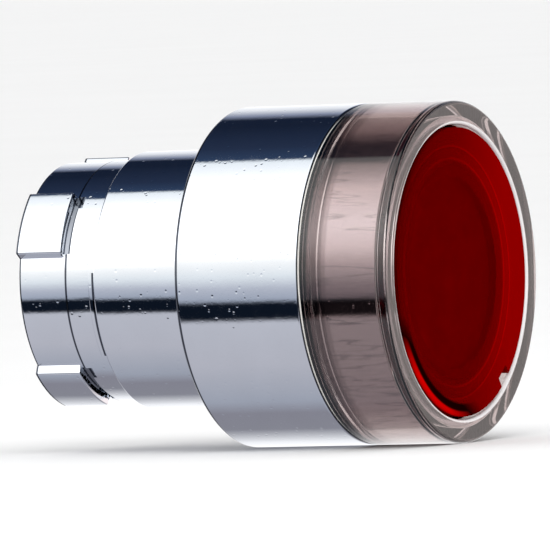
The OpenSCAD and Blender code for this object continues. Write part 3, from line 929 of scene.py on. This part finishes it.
class PUSHBUTTON_OT_actuator(bpy.types.Operator):
    """Ring with four feet on the plunger's rear end, and the open clip that holds it"""
    bl_idname = "pushbutton.actuator"
    bl_label = "Actuator"

    def execute(self, context):
        feet_root = FEET_BACK + 1.5
        bore = FEET_R - 1.2
        ring = turned("footed_ring", [
            (6.03, FEET_FRONT, 0.05), (FEET_R, FEET_FRONT, 0.12), (FEET_R, feet_root, 0.12),
            (bore, feet_root, 0.12), (bore, CLIP_FRONT), (5.72, CLIP_FRONT),
            (5.72, BUMPER_BACK - 0.3), (6.03, BUMPER_BACK - 0.3),
        ])
        middle = math.degrees(sizes().lug_phase) + 45
        foot = turned("foot", [
            (bore, FEET_BACK), (FEET_R, FEET_BACK), (FEET_R, feet_root + 0.3), (bore, feet_root + 0.3),
        ], middle - 20, 40)
        edges_softened(foot, 0.14)
        joined(ring, repeated(foot, LUGS))
        button_piece(smooth(ring), "actuator_ring", "black_plastic")

        clip = turned("open_clip", [
            (5.32, CLIP_BACK), (CLIP_R, CLIP_BACK), (CLIP_R, CLIP_FRONT), (5.32, CLIP_FRONT),
        ], math.degrees(sizes().lug_phase) - 155, 310)
        edges_softened(clip, 0.08)
        button_piece(smooth(clip), "actuator_clip", "spring_steel")
        return {"FINISHED"}


class PUSHBUTTON_OT_spring(bpy.types.Operator):
    """Return spring: a round wire swept in a helix, with a closed turn at each end"""
    bl_idname = "pushbutton.spring"
    bl_label = "Return Spring"

    def execute(self, context):
        s = sizes()
        wire = s.wire_radius / MM
        closed = 2 * wire + 0.04
        first = SPRING_BACK + wire
        last = SPRING_FRONT - wire
        middle_rise = last - first - 2 * closed
        turns = s.spring_turns
        lengths = [(1.0, closed), (turns, middle_rise), (1.0, closed)]
        parts, angle, height = [], 0.0, first
        for count, rise in lengths:
            parts.append(self.coil(wire, count, rise, angle, height))
            angle += 360 * count
            height += rise
        piece = joined(*parts)
        bpy.ops.object.mode_set(mode="EDIT")
        bpy.ops.mesh.select_all(action="SELECT")
        bpy.ops.mesh.remove_doubles(threshold=TINY * 10)
        bpy.ops.mesh.select_all(action="DESELECT")
        bpy.ops.mesh.select_non_manifold()
        bpy.ops.mesh.edge_face_add()
        close_edit()
        piece.name = piece.data.name = "coil_spring"
        housing_piece(smooth(piece, 60), "return_spring", "spring_steel")
        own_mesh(piece)
        return {"FINISHED"}

    def coil(self, wire, turns, rise, angle, height):
        """One stretch of the helix, from an angle and a height."""
        deselect_all()
        radius = SPRING_R - wire
        bpy.ops.mesh.primitive_circle_add(
            vertices=12, radius=wire * MM, location=(radius * MM, -height * MM, 0))
        part = bpy.context.object
        bpy.ops.object.transform_apply(location=True, rotation=True, scale=True)
        # The screw turns from +X towards -Z about +Y, so it is given a negative angle
        modified(
            part, "SCREW", axis="Y", angle=-math.tau * turns, screw_offset=-rise * MM,
            steps=round(40 * turns), render_steps=round(40 * turns), use_merge_vertices=False)
        turn(part, angle)
        return part


class PUSHBUTTON_OT_hidden(bpy.types.Operator):
    """Finishes for the plain rings that stay as they are"""
    bl_idname = "pushbutton.hidden"
    bl_label = "Plain Rings"

    def execute(self, context):
        for part in frame["record"]["subparts"]:
            if part["node"] in PLAIN_RINGS:
                node = frame["nodes"][part["node"]]
                node.data.materials.clear()
                node.data.materials.append(finish(part["material_slot"]))
        return {"FINISHED"}


# ---------------------------------------------------------------- studio

class PUSHBUTTON_OT_stage(bpy.types.Operator):
    """Pale floor, one soft light, studio surroundings and camera"""
    bl_idname = "pushbutton.stage"
    bl_label = "Stage"

    def execute(self, context):
        self.floor()
        self.surroundings(context)
        self.lights()
        self.camera(context)
        return {"FINISHED"}

    def floor(self):
        deselect_all()
        low = CAD_BOX[0]
        bpy.ops.mesh.primitive_plane_add(size=40, location=(0, 0, low.z))
        floor = bpy.context.object
        floor.name = "floor"
        material, tree, shader, place = blank("studio_paper")
        base = colours().floor
        shade = mottled(tree, place, base, 60, 2, 0.985, 1.0)
        tree.links.new(shade.outputs[0], shader.inputs["Base Color"])
        set_shader(shader, Roughness=0.9)
        floor.data.materials.append(material)
        # The metal mirrors the surroundings below instead of the floor, as over a dark table
        floor.visible_glossy = False
        floor.visible_transmission = False

    def surroundings(self, context):
        """White all round, but what the metal mirrors is strip lights and dark cloths along the axis."""
        world = bpy.data.worlds.new("studio")
        context.scene.world = world
        world.use_nodes = True
        tree = world.node_tree
        tree.nodes.clear()
        direction = add(tree, "TexCoord").outputs["Generated"]
        apart = add(tree, "SeparateXYZ", {0: direction})
        side = add(tree, "Math", {0: apart.outputs["X"], 1: -1.0}, operation="MULTIPLY")
        angle = add(tree, "Math", {0: apart.outputs["Z"], 1: side}, operation="ARCTAN2")
        around = add(tree, "MapRange", {0: angle, 1: -math.pi, 2: math.pi})
        # Each band is an angle round the axis, from the camera's side and up over the top, with the
        # strength of its light and its colour. Bands run into each other, so lights have soft edges.
        strongest = 2.2
        strips = [
            (-104, 1.35, "#807f88"), (-92, 1.35, "#969aa5"), (-60, 1.35, "#acacb4"),
            (-28.8, 1.35, "#b1b2ba"), (-26.4, 1.35, "#0c131e"), (-16, 1.35, "#0c131e"),
            (-13.4, 1.35, "#979eac"), (-6, 1.35, "#adb1bc"), (2, 1.35, "#d8dde0"),
            (12, 1.35, "#f4f4f2"), (21, 1.8, "#ffffff"), (32, 2.2, "#ffffff"), (50, 2.0, "#ffffff"),
            (65, 1.6, "#ffffff"), (78, 1.35, "#f4f6f8"), (86.5, 1.35, "#e2e7ea"),
            (88.5, 1.35, "#2b3b55"), (100, 1.35, "#202b41"), (125, 1.35, "#131c2e"),
        ]
        behind = [(-180, 1.3, "#ffffff"), (-150, 1.3, "#e8e8ea"), (-125, 1.35, "#818189")]
        behind_top = [
            (136, 1.35, "#131c2e"), (143, 1.35, "#7d8498"), (156, 1.2, "#e0e2e6"), (180, 1.3, "#ffffff"),
        ]
        facing = [(-180, 1.3, "#fff4f2"), (-160, 1.3, "#f4e8e6"), (-125, 1.35, "#818189")]
        facing_top = [
            (140, 1.35, "#131c2e"), (146, 1.5, "#8d94a4"), (165, 1.3, "#f4e8e6"), (180, 1.3, "#fff4f2"),
        ]
        through = [
            (-180, 1.2, "#ffffff"), (-140, 1.2, "#d8d0ce"), (-104, 1.35, "#a39a9c"),
            (-60, 1.35, "#aca6a8"), (-28.8, 1.35, "#b0abad"), (-26.4, 1.35, "#1e1a1b"),
            (-16, 1.35, "#1e1a1b"), (-13.4, 1.35, "#8d8488"), (-4, 1.35, "#a79fa2"),
            (8, 1.35, "#d8d0d2"), (21, 1.8, "#f4f0f0"), (40, 2.0, "#ffffff"), (65, 1.6, "#fbf4f2"),
            (76, 1.35, "#d9d0cf"), (86, 1.35, "#a89e9c"), (89, 1.35, "#4a403f"),
            (106, 1.35, "#42393a"), (112, 1.35, "#6a5f5e"), (122, 1.35, "#a0908e"),
            (150, 1.35, "#d0c4c2"), (180, 1.2, "#ffffff"),
        ]
        looks = []
        for bands in (behind + strips + behind_top, facing + strips + facing_top, through):
            stops = [
                ((degrees + 180) / 360, tinted_light(linear(code), power / strongest))
                for degrees, power, code in bands]
            looks.append(add(tree, "ValToRGB", {"Fac": around}, stops))
        # The room on the side that the lens cap faces is darker at the sides than the one behind
        beyond = add(tree, "MapRange", {0: apart.outputs["Y"], 1: -0.15, 2: 0.15})
        plate = add(tree, "Mix", {"Factor": beyond, 6: looks[1], 7: looks[0]}, data_type="RGBA")
        # The clear ring has dimmer and browner bands, as its own haze washes them out
        path = add(tree, "LightPath").outputs
        inside = add(tree, "Math", {0: path["Transmission Depth"], 1: 0.5}, operation="GREATER_THAN")
        seen = add(tree, "Mix", {
            "Factor": inside, 6: plate.outputs[2], 7: looks[2]}, data_type="RGBA").outputs[2]
        mirrored = add(tree, "Background", {"Color": seen, "Strength": strongest})
        white = add(tree, "Background", {"Color": WHITE, "Strength": 1.0})
        after_mirror = add(tree, "Math", {0: path["Glossy Depth"], 1: 0.5}, operation="GREATER_THAN")
        mixed = add(tree, "MixShader", {0: after_mirror, 1: white, 2: mirrored})
        add(tree, "OutputWorld", {"Surface": mixed})

    def lights(self):
        """One broad soft light over the camera's side of the object."""
        deselect_all()
        bpy.ops.object.light_add(type="AREA", location=(-0.35, -0.25, 0.45))
        light = bpy.context.object
        light.data.shape = "DISK"
        light.data.size = 0.4
        light.data.energy = 1.2
        light.rotation_euler = (-light.location).to_track_quat("-Z", "Y").to_euler()
        light.visible_glossy = False
        light.visible_transmission = False

    def camera(self, context):
        """A long lens, nearly level, that sees the lens cap at a low angle."""
        azimuth, elevation, roll = (math.radians(a) for a in (-62.8, 1.5, 2.27))
        distance, lens = 1.218, 935.7
        back = Vector((
            math.sin(azimuth) * math.cos(elevation),
            -math.cos(azimuth) * math.cos(elevation),
            math.sin(elevation),
        ))
        bpy.ops.object.camera_add()
        camera = bpy.context.object
        camera.data.lens = lens
        camera.data.sensor_width = 36
        camera.data.clip_start, camera.data.clip_end = 0.1, 60
        # The rolled frame of the camera: its right, its up and its back
        upright = back.to_track_quat("Z", "Y")
        right = upright @ Vector((math.cos(roll), -math.sin(roll), 0))
        up = upright @ Vector((math.sin(roll), math.cos(roll), 0))
        camera.rotation_euler = Matrix((right, up, back)).transposed().to_euler()
        # The panel plane's centre stands 2 mm left of the middle of the view
        camera.location = back * distance + right * 2.0 * MM + up * 0.19 * MM
        context.scene.camera = camera
        context.scene.view_settings.view_transform = "Standard"


class PUSHBUTTON_PT_panel(bpy.types.Panel):
    """Lists the pieces, sizes and colours"""
    bl_idname = "PUSHBUTTON_PT_panel"
    bl_label = "Push Button"
    bl_space_type = "VIEW_3D"
    bl_region_type = "UI"
    bl_category = "Push Button"

    def draw(self, context):
        layout = self.layout
        for operator in OPERATORS:
            layout.operator(operator.bl_idname)
        for group in (context.scene.push_button_sizes, context.scene.push_button_colours):
            box = layout.box()
            for name in group.__annotations__:
                box.prop(group, name)


OPERATORS = (
    PUSHBUTTON_OT_barrel, PUSHBUTTON_OT_bezel, PUSHBUTTON_OT_guard_ring, PUSHBUTTON_OT_seals,
    PUSHBUTTON_OT_lens, PUSHBUTTON_OT_plunger, PUSHBUTTON_OT_actuator, PUSHBUTTON_OT_spring,
    PUSHBUTTON_OT_hidden, PUSHBUTTON_OT_stage,
)
CLASSES = (PUSHBUTTON_PG_sizes, PUSHBUTTON_PG_colours, *OPERATORS, PUSHBUTTON_PT_panel)


def register():
    for each in CLASSES:
        bpy.utils.register_class(each)
    bpy.types.Scene.push_button_sizes = bpy.props.PointerProperty(type=PUSHBUTTON_PG_sizes)
    bpy.types.Scene.push_button_colours = bpy.props.PointerProperty(type=PUSHBUTTON_PG_colours)


def unregister():
    del bpy.types.Scene.push_button_colours
    del bpy.types.Scene.push_button_sizes
    for each in reversed(CLASSES):
        bpy.utils.unregister_class(each)


def main():
    register()
    bpy.ops.pushbutton.barrel()
    bpy.ops.pushbutton.bezel()
    bpy.ops.pushbutton.guard_ring()
    bpy.ops.pushbutton.seals()
    bpy.ops.pushbutton.lens()
    bpy.ops.pushbutton.plunger()
    bpy.ops.pushbutton.actuator()
    bpy.ops.pushbutton.spring()
    bpy.ops.pushbutton.hidden()
    bpy.ops.pushbutton.stage()


if __name__ == "__main__":
    main()
